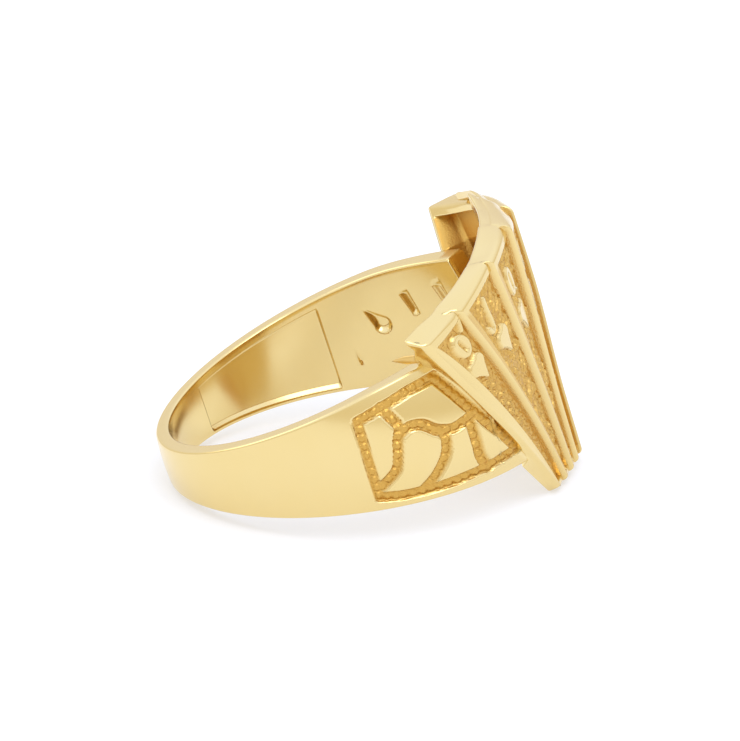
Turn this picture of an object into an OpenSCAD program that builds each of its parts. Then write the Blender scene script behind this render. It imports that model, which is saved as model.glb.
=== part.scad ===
// A man's cast gold ring whose head is a fan of five playing cards.
// It lies on its side as it rests by itself: the head is wider than the band, so the ring
// stands on the back of the band and on the foot of the fan, and its head end is raised.
// Millimetres. The finger axis is Z before the ring is tilted, and the head points to +X.

/* [Finger hole] */
// Inner diameter, a man's size 10
finger_d = 19.8; // [19:0.1:20.6]

/* [Band] */
// Width of the band at the back
back_w = 3; // [2.6:0.1:3.4]
// Width the band grows to where it meets the middle of the fan
front_w = 9.3; // [8.8:0.1:9.8]
// Wall at the back
back_t = 0.87; // [0.8:0.01:1]
// Wall at the front
front_t = 2.03; // [1.9:0.01:2.2]
// Radius of the crown across the outside of the band
crown_r = 15; // [12:0.5:20]

/* [Hollows inside the band] */
// Depth of the shallow hollows in the finger wall
hollow_d = 0.3; // [0.2:0.05:0.4]
// Rim left along both edges of a hollow
hollow_rim = 0.5; // [0.4:0.05:0.7]
// Angle from the back where a hollow starts
hollow_from = 33; // [28:1:38]
// Angle from the back where a hollow ends
hollow_to = 84; // [78:1:88]
// Depth of the blank dents in the finger wall
dent_d = 0.2; // [0.1:0.05:0.3]

/* [Shoulder panels] */
// Width of the sunk channels
channel_w = 0.66; // [0.5:0.02:0.8]
// Depth of the sunk channels
channel_d = 0.3; // [0.2:0.05:0.4]
// Plain strip between the panel and the edge of the band
panel_rim = 0.45; // [0.4:0.05:0.6]
// Where the panel starts, ahead of the finger axis
panel_x = 1.3; // [1:0.1:1.6]

/* [Card fan] */
// Radius of the curve that the cards follow round the finger
fan_r = 18; // [17:0.5:20]
// Distance of the middle card's face from the finger axis
face_x = 11.5; // [11.3:0.1:11.8]
// Lean of the fan, foot inwards
fan_lean = 1.8; // [0:0.1:3]
// Half of the fan's width at its top corners
fan_half = 11.6; // [11.2:0.1:12]
// Height of the fan's top, over the finger hole's middle plane
fan_top = 7.5; // [7.2:0.1:7.8]
// How much lower the top corners are than the middle
fan_drop = 1.9; // [1.6:0.1:2.2]
// Depth of the fan's foot, under the middle plane
fan_foot = 7.6; // [7.4:0.1:7.8]
// Thickness of one card
card_t = 0.9; // [0.8:0.05:1]
// Step from each card up to the next
card_step = 0.27; // [0.2:0.01:0.3]
// Width of the polished border round each card
border_w = 0.5; // [0.4:0.05:0.6]
// Depth of the sunk field inside the border
field_d = 0.22; // [0.15:0.01:0.3]
// Lip left round the hollow back of the fan
lip_w = 0.45; // [0.35:0.05:0.6]
// Metal left in front of the hollow back
skin_t = 0.55; // [0.5:0.05:0.65]
// Half of the window through the band's front wall into the hollow back
window_half = 6.5; // [6:0.1:7]
// Height of the band's front wall left under the window
window_sill = 1.3; // [1:0.1:1.8]

/* [Marks on the cards] */
// Height of a rank mark
rank_size = 1.35; // [1:0.05:1.5]
// Width of a heart
heart_size = 1.5; // [1.1:0.05:1.6]
// Distance from the top of a card's left edge down to its rank mark
rank_down = 1.75; // [1.6:0.05:2]
// Distance from the top of a card's left edge down to its heart
heart_down = 4.3; // [4:0.1:4.8]
// Distance of the marks from a card's left edge
mark_in = 1.17; // [1.1:0.01:1.3]

/* [Hidden] */
gold = [0.93, 0.78, 0.42];
$fn = 96;

ri = finger_d / 2;
// The outside of the band is a crowned disc, a little ahead of the finger hole
disc_r = ri + (back_t + front_t) / 2;
disc_x = (front_t - back_t) / 2;
far = 40;
tiny = 0.01;

// Half width of the band at x
function band_half(x) = (back_w + (front_w - back_w) * (x + ri) / (2 * ri)) / 2;

// Cards from the near one, "10", to the far one, "A": where the left edge crosses the fan's
// top and its foot, as shares of the fan's half widths
foot_half = 3;
LEFT_TOP  = [-1.00, -0.79, -0.43, -0.02, 0.40];
LEFT_FOOT = [-1.00, -0.62, -0.21, 0.20, 0.62];
CARDS = 5;
// Top of the fan at y, an arc through the middle and the two corners
top_arc_r = (fan_half * fan_half + fan_drop * fan_drop) / (2 * fan_drop);
function top_z(y) = fan_top - top_arc_r + sqrt(top_arc_r * top_arc_r - y * y);
function left_top(k) = let(y = fan_half * LEFT_TOP[k]) [y, top_z(y)];
function left_foot(k) = [foot_half * LEFT_FOOT[k], -fan_foot];
function flip(p) = [-p[0], p[1]];
function right_top(k) = flip(left_top(CARDS - 1 - k));
function right_foot(k) = flip(left_foot(CARDS - 1 - k));
// Radius of a card's face, about the fan's own axis
function face_r(k) = fan_r + (k - 2) * card_step;
fan_axis_x = face_x - fan_r;

// The ring tips until the foot of the fan meets the ground that the back of the band stands on
foot_reach = fan_axis_x + sqrt(pow(face_r(0) - card_t, 2) - foot_half * foot_half)
    - fan_foot * sin(fan_lean);
back_reach = disc_r - disc_x - back_w * back_w / (8 * crown_r);
tilt = atan((fan_foot - back_w / 2) / (foot_reach + back_reach));
lift = back_reach * sin(tilt) + back_w / 2 * cos(tilt);
// The origin is under the middle of the tilted ring
middle_x = 1.29;

// A shape drawn in the Y-Z plane, drawn out along X
module along_x(length) {
    rotate([90, 0, 90]) linear_extrude(length) children();
}

// A shape drawn in the X-Z plane, drawn out along Y to both sides
module along_y() {
    rotate([90, 0, 0]) linear_extrude(2 * far, center = true) children();
}

// The outside of the band, sunk by some depth
module crowned_disc(sunk) {
    translate([disc_x, 0, 0]) rotate_extrude() intersection() {
        translate([disc_r - crown_r, 0]) circle(crown_r - sunk, $fn = 240);
        translate([0, -far / 4]) square([far, far / 2]);
    }
}

// A wedge whose width follows the band's, less a rim
module band_wedge(rim) {
    along_y() polygon([
        [-far / 2, -band_half(-far / 2) + rim], [far / 2, -band_half(far / 2) + rim],
        [far / 2, band_half(far / 2) - rim], [-far / 2, band_half(-far / 2) - rim]]);
}

// A cylinder about the fan's own axis
module fan_cylinder(radius) {
    rotate([0, fan_lean, 0]) translate([fan_axis_x, 0, -far / 2]) cylinder(h = far, r = radius);
}

// The outline of a card, drawn in from its edges by some width, which narrows to the foot
foot_share = 1 / 3;
module card_outline(k, inset) {
    foot_inset = inset * foot_share;
    polygon([
        left_top(k) + [inset, -inset], right_top(k) + [-inset, -inset],
        right_foot(k) + [-foot_inset, inset], left_foot(k) + [foot_inset, inset]]);
}

// A heart, standing on its point, one unit wide
module heart() {
    rotate(45) square(0.5, center = true);
    translate([-0.177, 0.177]) circle(0.25);
    translate([0.177, 0.177]) circle(0.25);
}

// Rank marks, about one unit high
module stroke(x, y, w, h) {
    translate([x, y]) square([w, h], center = true);
}
module ring_mark(r, w) {
    difference() {
        circle(r);
        circle(r - w);
    }
}
module rank(k) {
    line = 0.2;
    if (k == 0) {
        ring_mark(0.5, 0.26);
        stroke(-0.55, 0.62, line, 0.4);
    }
    if (k == 1) {
        stroke(0.15, 0.1, line, 0.9);
        intersection() {
            translate([-0.12, -0.3]) ring_mark(0.37, line);
            stroke(-0.12, -0.6, 1, 0.6);
        }
    }
    if (k == 2) {
        ring_mark(0.45, line);
        rotate(-45) stroke(0.45, 0, 0.4, line);
    }
    if (k == 3) {
        stroke(-0.25, 0, line, 1);
        rotate(40) stroke(0.1, 0, 0.85, line);
        rotate(-40) stroke(0.1, 0, 0.85, line);
    }
    if (k == 4) {
        rotate(-18) stroke(-0.2, 0, line, 1);
        rotate(18) stroke(0.2, 0, line, 1);
        stroke(0, -0.15, 0.5, line);
    }
}

// Direction down a card's left edge, a place beside that edge, and the lean of the edge
function edge_dir(k) = let(d = left_foot(k) - left_top(k)) d / norm(d);
function beside_edge(k, down, inwards) = let(d = edge_dir(k))
    left_top(k) + down * d + inwards * [-d[1], d[0]];
function edge_lean(k) = atan2(edge_dir(k)[0], -edge_dir(k)[1]);

module marks(k) {
    translate(beside_edge(k, rank_down, mark_in)) rotate(edge_lean(k)) scale(rank_size) rank(k);
    translate(beside_edge(k, heart_down, mark_in)) rotate(edge_lean(k)) scale(heart_size) heart();
}

// What stands above a card's sunk field
module above_field(k) {
    difference() {
        along_x(far / 2) children();
        fan_cylinder(face_r(k) - field_d);
    }
}

// One card: a curved plate with a sunk field, on which its rank and its heart stand
module card(k) {
    difference() {
        intersection() {
            fan_cylinder(face_r(k));
            along_x(far / 2) card_outline(k, 0);
        }
        fan_cylinder(face_r(k) - card_t);
        above_field(k) difference() {
            card_outline(k, border_w);
            marks(k);
        }
    }
}

// The hollow back of the fan: each card's own strip, stepped as the cards are
module back_strip(k) {
    rear = k == 0 ? left_top(0) + [lip_w, -lip_w] : right_top(k - 1) + [-tiny, -lip_w];
    rear_foot = k == 0 ? left_foot(0) + [lip_w, lip_w] : right_foot(k - 1) + [-tiny, lip_w];
    intersection() {
        fan_cylinder(face_r(k) - skin_t);
        along_x(far / 2) polygon([
            rear, right_top(k) + [-lip_w, -lip_w], right_foot(k) + [-lip_w, lip_w], rear_foot]);
    }
}

// The slope under the foot of the fan, which rises towards the front
foot_rise = 16;
module foot_slope() {
    translate([foot_reach, 0, -fan_foot]) rotate([0, -foot_rise, 0])
        translate([0, -far / 2, -far]) cube([far, far, far]);
}

module fan() {
    difference() {
        for (k = [0 : CARDS - 1]) card(k);
        foot_slope();
    }
}

// The plate that joins the cards at the foot, as thick as the rearmost card, and a hair
// narrower than the fan
plate_h = 3;
fan_spread = (fan_half - foot_half) / (left_top(0)[1] + fan_foot);
module foot_plate() {
    top = plate_h - fan_foot;
    half = foot_half + plate_h * fan_spread - 5 * tiny;
    difference() {
        intersection() {
            fan_cylinder(face_r(0) - field_d);
            along_x(far / 2) polygon([left_foot(0), flip(left_foot(0)), [half, top], [-half, top]]);
        }
        fan_cylinder(face_r(0) - card_t);
        foot_slope();
    }
}

// The channels of the panel on one shoulder, drawn in the X-Z plane: a frame, and four
// branches that part the raised smooth islands. A stretch laps over its neighbours' ends.
lap = 0.35 * channel_w;
module track(a, b) {
    d = b - a;
    translate(a) rotate(atan2(d[1], d[0])) translate([-lap, -channel_w / 2])
        square([norm(d) + 2 * lap, channel_w]);
}
function panel_edge(x) = band_half(x) - panel_rim - channel_w / 2;
// The panel ends at the fan's side wall
panel_top_x = 6.6;
panel_foot_x = 9.7;
// The branches' corners in X and Z
BRANCHES = [
    [[3.3, 2.6], [3.7, 1.2], [3.45, 0.1], [2.95, -1.2], [1.9, -1.9]],
    [[3.7, 0.8], [4.9, 0.95], [5.7, 0.2], [6.5, -0.1], [7.6, 0.2]],
    [[5.75, 0.1], [6, -0.8], [5.5, -1.8], [4.2, -2.8]],
    [[7.5, 0], [7.55, -1.5], [7.5, -2.7], [8, -3.4]]];
module channels() {
    near = panel_x + channel_w / 2;
    a = [near, panel_edge(near)];
    b = [near, -panel_edge(near)];
    c = [panel_foot_x, -panel_edge(panel_foot_x)];
    d = [panel_top_x, panel_edge(panel_top_x)];
    track(a, b);
    track(b, c);
    track(c, d);
    track(d, a);
    for (branch = BRANCHES) for (i = [1 : len(branch) - 1]) track(branch[i - 1], branch[i]);
}

// The panels' channels on both shoulders, as deep below the crowned outside all along
module sunk_channels() {
    difference() {
        for (side = [0, 1]) mirror([0, side, 0]) translate([0, -ri / 2, 0]) rotate([90, 0, 0])
            linear_extrude(ri) channels();
        crowned_disc(channel_d);
    }
}

// The shallow hollow in the finger wall, on both sides
module side_hollows() {
    intersection() {
        cylinder(h = far, r = ri + hollow_d, center = true);
        band_wedge(hollow_rim);
        for (side = [-1, 1]) linear_extrude(far, center = true) polygon([
            [0, 0], far * [-cos(hollow_from), side * sin(hollow_from)],
            far * [-cos((hollow_from + hollow_to) / 2), side * sin((hollow_from + hollow_to) / 2)],
            far * [-cos(hollow_to), side * sin(hollow_to)]]);
    }
}

// A shape stood on the finger wall, so many degrees from the back, and turned on itself
module dent(angle, z, turn) {
    rotate([0, 0, 180 - angle]) translate([0, 0, z]) along_x(far / 2) rotate(turn) children();
}
module drop() {
    circle(0.65);
    polygon([[-0.6, 0.2], [0.6, 0.2], [0, 1.5]]);
}
// Three blank dents in the far finger wall, a drop and two bars
bar = [0.6, 1.6];
module dents() {
    intersection() {
        cylinder(h = far, r = ri + dent_d, center = true);
        union() {
            dent(101, 0.5, 30) drop();
            dent(115, 1.5, 10) square(bar, center = true);
            dent(128, 2, 5) square(bar, center = true);
        }
    }
}

// The band: a crowned disc cut to a wedge, with the panels sunk in its shoulders
module band() {
    difference() {
        intersection() {
            crowned_disc(0);
            band_wedge(0);
            fan_cylinder(face_r(0) - field_d - tiny);
        }
        sunk_channels();
    }
}

// Everything above the sill of the window
sill_z = window_sill - band_half(ri);
module above_sill(half) {
    translate([0, -half, sill_z]) cube([far, 2 * half, far]);
}

// The window from the finger hole into the hollow back of the fan
module window() {
    intersection() {
        fan_cylinder(face_r(0) - card_t);
        above_sill(window_half);
    }
}

// The hollow back of the fan
module hollow_back() {
    intersection() {
        for (k = [0 : CARDS - 1]) back_strip(k);
        above_sill(far);
    }
}

module ring_body() {
    difference() {
        union() {
            difference() {
                band();
                window();
            }
            difference() {
                fan();
                hollow_back();
            }
            foot_plate();
        }
        cylinder(h = far, r = ri, center = true);
        side_hollows();
        dents();
    }
}

module ring() {
    color(gold) translate([-middle_x, 0, lift]) rotate([0, -tilt, 0]) ring_body();
}

ring();
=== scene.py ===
"""A man's cast gold ring: a tapered band with carved shoulders, and a head of five fanned playing cards.

Every shape is worked out in the ring's own frame, in millimetres. The finger axis is Z, the head points
to +X, and the side nearer to the camera is -Y. lay_down() then tips the ring as it rests on its side and
turns millimetres into metres.
"""

import math
import bpy
from mathutils import Matrix, Vector
import numpy as np


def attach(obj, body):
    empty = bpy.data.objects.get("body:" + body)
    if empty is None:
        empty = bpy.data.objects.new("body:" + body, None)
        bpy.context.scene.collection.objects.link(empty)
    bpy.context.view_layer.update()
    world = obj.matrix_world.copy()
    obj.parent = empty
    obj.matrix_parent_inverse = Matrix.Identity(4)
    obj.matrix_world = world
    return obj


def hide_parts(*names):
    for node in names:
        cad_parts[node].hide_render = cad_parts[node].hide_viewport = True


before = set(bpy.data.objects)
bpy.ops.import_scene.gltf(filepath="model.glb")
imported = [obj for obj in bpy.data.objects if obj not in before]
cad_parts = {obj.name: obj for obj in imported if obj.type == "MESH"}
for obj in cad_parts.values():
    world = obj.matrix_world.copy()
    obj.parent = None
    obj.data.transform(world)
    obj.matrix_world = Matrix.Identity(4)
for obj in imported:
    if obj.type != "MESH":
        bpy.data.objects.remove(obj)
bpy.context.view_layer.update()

# The band: finger hole, half width at the back and at the front, outside radius, its centre, its crown,
# the round of its rims, and how far both rims stand off that half width. The top rim falls towards the
# head, from an X on and over a run.
HOLE_R = 9.9
BACK_HALF = 1.5
FRONT_HALF = 4.65
DISC_R = 11.35
DISC_X = 0.58
CROWN_R = 15.0
RIM_ROUND = 0.13
TOP_HIGHER = 0.07
TOP_FALL = 0.2
TOP_FALL_X = (2, 5)
FOOT_HIGHER = 0.1

# The fan: the axis that its cards curve about, its lean, and the outline of its top and foot
AXIS_X = -6.5
LEAN = math.radians(1.8)
MIDDLE_R = 18.0
CARD_STEP = 0.27
FAN_HALF = 11.6
FAN_TOP = 7.5
FAN_DROP = 1.9
FOOT_HALF = 3.0
FOOT_Z = -7.6
FOOT_RISE = 0.05

# The cards, from the near one to the far one: rank, then where the left edge crosses the fan's top and
# its foot, as shares of the half widths
CARDS = [
    ("ten", -1.00, -1.00),
    ("jack", -0.79, -0.62),
    ("queen", -0.43, -0.21),
    ("king", -0.04, 0.20),
    ("ace", 0.40, 0.62),
]

# The head's walls: the lip round the hollow back, what is left in front of it, the sill under it, and
# the round of the edges
LIP = 0.42
SKIN = 0.56
SILL_Z = -3.35
EDGE_ROUND = 0.2

# The run of a steep wall in the relief, seen from above
STEP = 0.09

# How the ring rests: the back of the band and the foot of the fan touch the ground
REAR_FOOT_X = 9.547
BACK_REACH = DISC_R - DISC_X - (2 * BACK_HALF) ** 2 / (8 * CROWN_R)
TILT = math.atan((-FOOT_Z - BACK_HALF) / (REAR_FOOT_X + BACK_REACH))
LIFT = BACK_REACH * math.sin(TILT) + BACK_HALF * math.cos(TILT)
MIDDLE_X = 1.29
MM = 0.001

# How finely sums and splines are worked out, and the side of the table of random values
SUM_STEPS = 6000
SPLINE_STEPS = 24
LATTICE = 256


def lay_down(points):
    """Turns points of the ring's own frame, in millimetres, into the row frame, in metres: tipped about
    Y by the resting tilt, lifted to the ground and moved so that the box's middle is over the
    origin."""
    x, y, z = points[..., 0], points[..., 1], points[..., 2]
    ct, st = math.cos(TILT), math.sin(TILT)
    return np.stack([x * ct - z * st - MIDDLE_X, y, x * st + z * ct + LIFT], axis=-1) * MM


def smooth(t):
    """0 below 0, 1 above 1, and a soft step between."""
    t = np.clip(t, 0, 1)
    return t * t * (3 - 2 * t)


def ramp(values, start, run):
    """0 where a value is below start, 1 from start + run on, and a soft step between. A named pair of
    numbers that is given here is the start and the run."""
    return smooth((values - start) / run)


def mix(a, b, t):
    """Between a at 0 and b at 1."""
    return a + (b - a) * t


def spaced(start, end, count, density):
    """Places from start to end, closer together where density(place) is high: equal steps of its
    sum."""
    fine = np.linspace(start, end, SUM_STEPS)
    total = np.concatenate([[0], np.cumsum(density(fine))[:-1]])
    return np.interp(np.linspace(0, total[-1], count), total, fine)


def near(places, centre, width):
    """A bump of height 1 round a centre."""
    return np.exp(-(((places - centre) / width) ** 2))


def share_along(p, q, a, b):
    """How far along the line from a to b its nearest place to each point (p, q) lies, from 0 to 1."""
    dx, dy = b[0] - a[0], b[1] - a[1]
    return np.clip(((p - a[0]) * dx + (q - a[1]) * dy) / (dx * dx + dy * dy), 0, 1)


def segment_gap(p, q, a, b):
    """Distance from each point (p, q) to the line from a to b."""
    t = share_along(p, q, a, b)
    return np.hypot(p - a[0] - t * (b[0] - a[0]), q - a[1] - t * (b[1] - a[1]))


def tapered_gap(p, q, a, b, start_r, end_r):
    """Distance to a rounded bar from a to b whose radius changes from start_r to end_r."""
    return segment_gap(p, q, a, b) - mix(start_r, end_r, share_along(p, q, a, b))


def bar_gap(p, q, a, b, start_half, end_half):
    """Distance, nearly, to a bar with square ends from a to b, whose half width changes evenly."""
    length = math.hypot(b[0] - a[0], b[1] - a[1])
    dx, dy = (b[0] - a[0]) / length, (b[1] - a[1]) / length
    along = (p - a[0]) * dx + (q - a[1]) * dy
    across = np.abs((q - a[1]) * dx - (p - a[0]) * dy)
    half = mix(start_half, end_half, np.clip(along / length, 0, 1))
    return np.maximum(across - half, np.maximum(-along, along - length))


def path_gap(p, q, points):
    """Distance from each point to a chain of lines."""
    gaps = [segment_gap(p, q, a, b) for a, b in zip(points[:-1], points[1:])]
    return np.minimum.reduce(gaps)


def lengths_along(chain):
    """How far along a chain of points each of them lies."""
    return np.concatenate([[0], np.cumsum(np.hypot(*np.diff(chain, axis=0).T))])


def places_along(chain, at):
    """The places at the given lengths along a chain of points."""
    run = lengths_along(chain)
    return np.column_stack([np.interp(at, run, chain[:, 0]), np.interp(at, run, chain[:, 1])])


def rounded_path(points, count):
    """A smooth curve through a chain of points, as count points at equal steps: a Catmull-Rom
    spline."""
    pts = np.asarray(points, float)
    ends = np.vstack([2 * pts[0] - pts[1], pts, 2 * pts[-1] - pts[-2]])
    t = np.linspace(0, 1, SPLINE_STEPS, endpoint=False)[:, None]
    parts = []
    for a, b, c, d in zip(ends[:-3], ends[1:-2], ends[2:-1], ends[3:]):
        squared = 2 * a - 5 * b + 4 * c - d
        cubed = 3 * b - a - 3 * c + d
        parts.append(0.5 * (2 * b + (c - a) * t + squared * t**2 + cubed * t**3))
    curve = np.vstack(parts + [pts[-1:]])
    return places_along(curve, np.linspace(0, lengths_along(curve)[-1], count))


def grain(p, q, size, seed):
    """Fine random height from -1 to 1: random values on a square lattice of the given size, joined
    smoothly."""
    rng = np.random.default_rng(seed)
    table = rng.uniform(-1, 1, (LATTICE, LATTICE))
    u, v = p / size, q / size
    i, j = np.floor(u).astype(int), np.floor(v).astype(int)
    a, b = smooth(u - i), smooth(v - j)
    i_next, j_next = (i + 1) % LATTICE, (j + 1) % LATTICE
    i, j = i % LATTICE, j % LATTICE
    low = table[i, j] * (1 - a) + table[i_next, j] * a
    high = table[i, j_next] * (1 - a) + table[i_next, j_next] * a
    return low * (1 - b) + high * b


def stacked(sections):
    """Joins sections of a profile, each a tuple of numbers or arrays, into one array for each place in
    the tuple."""
    rows = []
    for section in sections:
        parts = np.broadcast_arrays(*[np.atleast_1d(part) for part in section])
        rows.append(np.column_stack(parts))
    return np.vstack(rows).T


def new_object(name, points, faces, material, field, caps=()):
    """A smooth-shaded mesh object from ring-frame points, faces and cap faces. The attribute "field" is
    0 where the metal is polished and 1 where it is rough, as on the ground of the carving, and there it
    is darker as painted shade; on the hollows, the cut rim of the band, the spur and the card borders it
    is painted shade, with rougher metal."""
    mesh = bpy.data.meshes.new(name)
    rings = faces.tolist()
    for cap in caps:
        rings += cap.tolist()
    mesh.from_pydata(lay_down(points).tolist(), [], rings)
    ground = mesh.attributes.new("field", "FLOAT", "POINT")
    ground.data.foreach_set("value", np.asarray(field, np.float32))
    mesh.polygons.foreach_set("use_smooth", np.ones(len(mesh.polygons), bool))
    mesh.materials.append(material)
    piece = bpy.data.objects.new(name, mesh)
    bpy.context.scene.collection.objects.link(piece)
    return piece


def quads(rows, columns, wrap_rows):
    """Faces of a grid of points whose columns close into a loop, and whose rows may."""
    i = np.arange(rows if wrap_rows else rows - 1)[:, None]
    j = np.arange(columns)[None, :]
    down, right = (i + 1) % rows, (j + 1) % columns
    return np.stack(
        [i * columns + j, i * columns + right, down * columns + right, down * columns + j], axis=-1
    ).reshape(-1, 4)


def zip_cap(chain_a, chain_b, along_a, along_b):
    """Triangles between two chains of point numbers that run side by side: each step takes the chain
    whose next point comes first."""
    order = np.argsort(np.concatenate([along_a[1:], along_b[1:]]), kind="stable")
    step_a = order < len(along_a) - 1
    i = np.cumsum(step_a) - step_a
    j = np.cumsum(~step_a) - ~step_a
    next_a = chain_a[np.minimum(i + 1, len(chain_a) - 1)]
    next_b = chain_b[np.minimum(j + 1, len(chain_b) - 1)]
    return np.column_stack([chain_a[i], np.where(step_a, next_a, next_b), chain_b[j]])


def band_half(x):
    """Half width of the band, growing evenly from the back to the front."""
    return BACK_HALF + (FRONT_HALF - BACK_HALF) * (x + HOLE_R) / (2 * HOLE_R)


def band_outside(angle, z):
    """Distance from the finger axis to the crowned outside of the band: the circle round DISC_X whose
    radius falls by the crown's arc as z leaves the middle."""
    radius = DISC_R - CROWN_R + np.sqrt(CROWN_R**2 - z**2)
    return DISC_X * np.cos(angle) + np.sqrt(radius**2 - (DISC_X * np.sin(angle)) ** 2)


def fan_reach(angle, z, radius):
    """Distance from the finger axis to a cylinder about the fan's axis, in the direction of angle."""
    shift = (AXIS_X + z * math.sin(LEAN)) / math.cos(LEAN)
    return shift * np.cos(angle) + np.sqrt(radius**2 - (shift * np.sin(angle)) ** 2)


# The carved panel on each shoulder, as places in X and Z: the middle of the frame's channel and of its
# branches
FRAME = [
    (1.68, 2.27), (3.5, 2.65), (4.86, 2.92), (6.36, 3.05), (7.1, 1.75), (8.02, -0.1), (8.92, -2.0),
    (9.35, -3.3), (7.75, -3.3), (5.95, -3.17), (4.1, -2.95), (2.65, -2.68), (1.52, -2.36), (1.68, 2.27),
]
BRANCHES = [
    [(3.15, 2.62), (3.5, 1.9), (3.78, 1.2), (3.5, 0.45), (3.26, -0.4), (2.9, -1.15), (1.9, -1.8)],
    [(3.66, 0.72), (4.3, 1.0), (5.0, 0.85), (5.65, 0.25), (6.4, -0.12), (7.0, -0.1), (7.75, 0.05)],
    [(5.6, 0.25), (5.98, -0.1), (6.0, -0.75), (5.68, -1.5), (4.9, -2.3), (4.0, -2.85)],
    [(7.55, 0.0), (7.52, -0.8), (7.5, -1.6), (7.45, -2.5), (7.62, -3.4)],
]
PANEL_FROM_X, PANEL_TO_X = 1, 9.9
PATH_POINTS = 40
CHANNEL_HALF = 0.34
CHANNEL_DEPTH = 0.24
CHANNEL_WALL = 0.1

# The beads in the channels: their spacing, radius and rise, and the shares of the radius that are their
# flat top and their round side
BEAD_STEP = 0.5
BEAD_R = 0.24
BEAD_RISE = 0.09
BEAD_TOP, BEAD_SIDE = 0.7, 0.3

# The rough floor of the channels: height, size and seed of each layer of grain
CHANNEL_ROUGH = [(0.035, 0.12, 11), (0.03, 0.3, 12)]


def bead_places():
    """Where the beads sit: at even steps along the frame and the branches."""
    outline = np.asarray(FRAME, float)
    length = lengths_along(outline)[-1]
    at = np.linspace(0, length, int(length / BEAD_STEP), endpoint=False)
    places = [places_along(outline, at)]
    for branch in BRANCHES:
        length = lengths_along(rounded_path(branch, 100))[-1]
        places.append(rounded_path(branch, int(length / BEAD_STEP) + 1))
    return np.vstack(places)


def shoulder_relief(x, z):
    """Height of the carved panel at X and Z, and how much of it is channel: channels with a flat floor
    and steep walls, rough inside, along whose middle a row of round beads stands. The material makes the
    channel rough, and darker as painted shade."""
    gap = path_gap(x, z, FRAME)
    for branch in BRANCHES:
        gap = np.minimum(gap, path_gap(x, z, rounded_path(branch, PATH_POINTS)))
    sunk = 1 - smooth((gap - CHANNEL_HALF + CHANNEL_WALL) / CHANNEL_WALL)
    beads = bead_places()
    away = np.min(np.hypot(x[..., None] - beads[:, 0], z[..., None] - beads[:, 1]), axis=-1)
    bead = BEAD_RISE * (1 - ramp(away, BEAD_TOP * BEAD_R, BEAD_SIDE * BEAD_R))
    rough = sum(height * grain(x, z, size, seed) for height, size, seed in CHANNEL_ROUGH)
    return sunk * (bead + rough - CHANNEL_DEPTH), sunk


# The shallow hollow in each side of the finger wall: where it begins and ends, in degrees from the
# back, its depth, the rim beside it, and a column half way across that rim
HOLLOW_ENDS = (33, 84)
HOLLOW_FROM, HOLLOW_TO = math.radians(HOLLOW_ENDS[0]), math.radians(HOLLOW_ENDS[1])
HOLLOW_DEPTH = 0.28
HOLLOW_RIM = 0.45
RIM_FLAT = 0.33

# Four blank dents in the far finger wall, at degrees from the back and a height: a drop, as a ball and
# a tail that narrows to its tip, and three bars, a small wedge last, each from end to end with both
# half widths
DENT_DEPTH = 0.26
DENT_SLOPE = 0.3
DROP_BALL = (103.4, 0.5)
DROP_BALL_R = 0.52
DROP_ROOT = (102.6, 0.7)
DROP_TIP = (98.2, 1.68)
DROP_TAIL_HALF = 0.42
DROP_TAIL_RUN = 1.25
DENT_BARS = [
    ((113.8, 2.28), (116.5, 0.76), 0.29, 0.22),
    ((127.9, 2.64), (131.0, 1.15), 0.36, 0.26),
    ((92.0, -0.6), (92.6, -1.45), 0.02, 0.17),
]


def hollow_relief(turn, z, half):
    """How much deeper the finger wall is: a shallow hollow on each side, with crisp edges."""
    side = np.abs(turn)
    inside = smooth((side - HOLLOW_FROM) * HOLE_R / STEP) * smooth((HOLLOW_TO - side) * HOLE_R / STEP)
    return HOLLOW_DEPTH * inside * smooth((half - HOLLOW_RIM - np.abs(z)) / STEP)


def on_wall(place):
    """A place in degrees from the back and a height, as millimetres along the finger wall and up it."""
    return HOLE_R * math.radians(place[0]), place[1]


def dent_relief(turn, z):
    """How much deeper the finger wall is in the blank dents: full inside their outlines, with sloping
    sides."""
    along = HOLE_R * turn
    ball, root, tip = on_wall(DROP_BALL), on_wall(DROP_ROOT), on_wall(DROP_TIP)
    round_end = np.hypot(along - ball[0], z - ball[1]) - DROP_BALL_R
    from_tip = np.hypot(along - tip[0], z - tip[1])
    tail = segment_gap(along, z, root, tip) - DROP_TAIL_HALF * np.clip(from_tip / DROP_TAIL_RUN, 0, 1)
    gaps = [round_end, tail]
    for start, end, start_half, end_half in DENT_BARS:
        gaps.append(bar_gap(along, z, on_wall(start), on_wall(end), start_half, end_half))
    return DENT_DEPTH * smooth((STEP / 2 - np.minimum.reduce(gaps)) / DENT_SLOPE)


# The window through the band's front wall: the upper and the lower end of its sloping side, in Y and Z,
# a height above all of the band, and how much lower the outside of the slope is, and how soon
WINDOW_TOP = (6.85, 4.4)
WINDOW_FOOT = (4.4, SILL_Z)
ABOVE_ALL = 9
WINDOW_DROP = 2.4
WINDOW_DROP_RUN = 0.6
SILL_DROP_RUN = 3


def window_rim(turn):
    """Top of the band's front wall where the window is cut through it: it slopes down from the band's
    own rim beside the window to the sill in front."""
    side = np.where(np.abs(turn) > math.pi / 2, HOLE_R * np.abs(np.sin(turn)), HOLE_R)
    t = (side - WINDOW_FOOT[0]) / (WINDOW_TOP[0] - WINDOW_FOOT[0])
    return np.clip(mix(WINDOW_FOOT[1], WINDOW_TOP[1], t), SILL_Z, ABOVE_ALL)


# How many cross-sections the band has, and how many columns they have outside and inside
BAND_TURNS = 430
OUTSIDE_COLUMNS = 122
INSIDE_COLUMNS = 54

# Where they crowd. Columns inside, over the dents: how much, the height's share and its reach.
# Cross-sections, in degrees from the back: over the carved panels, each end and its run, and at the
# ends of the hollows.
DENTS_CROWD = [(2.2, 0.4, 0.4), (1, -0.25, 0.15)]
PANEL_CROWD = 3.4
PANEL_TURNS = (88, 158)
PANEL_TURN_RUNS = (3, 5)
HOLLOW_END_CROWD = 6
HOLLOW_END_REACH = 0.9


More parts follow.
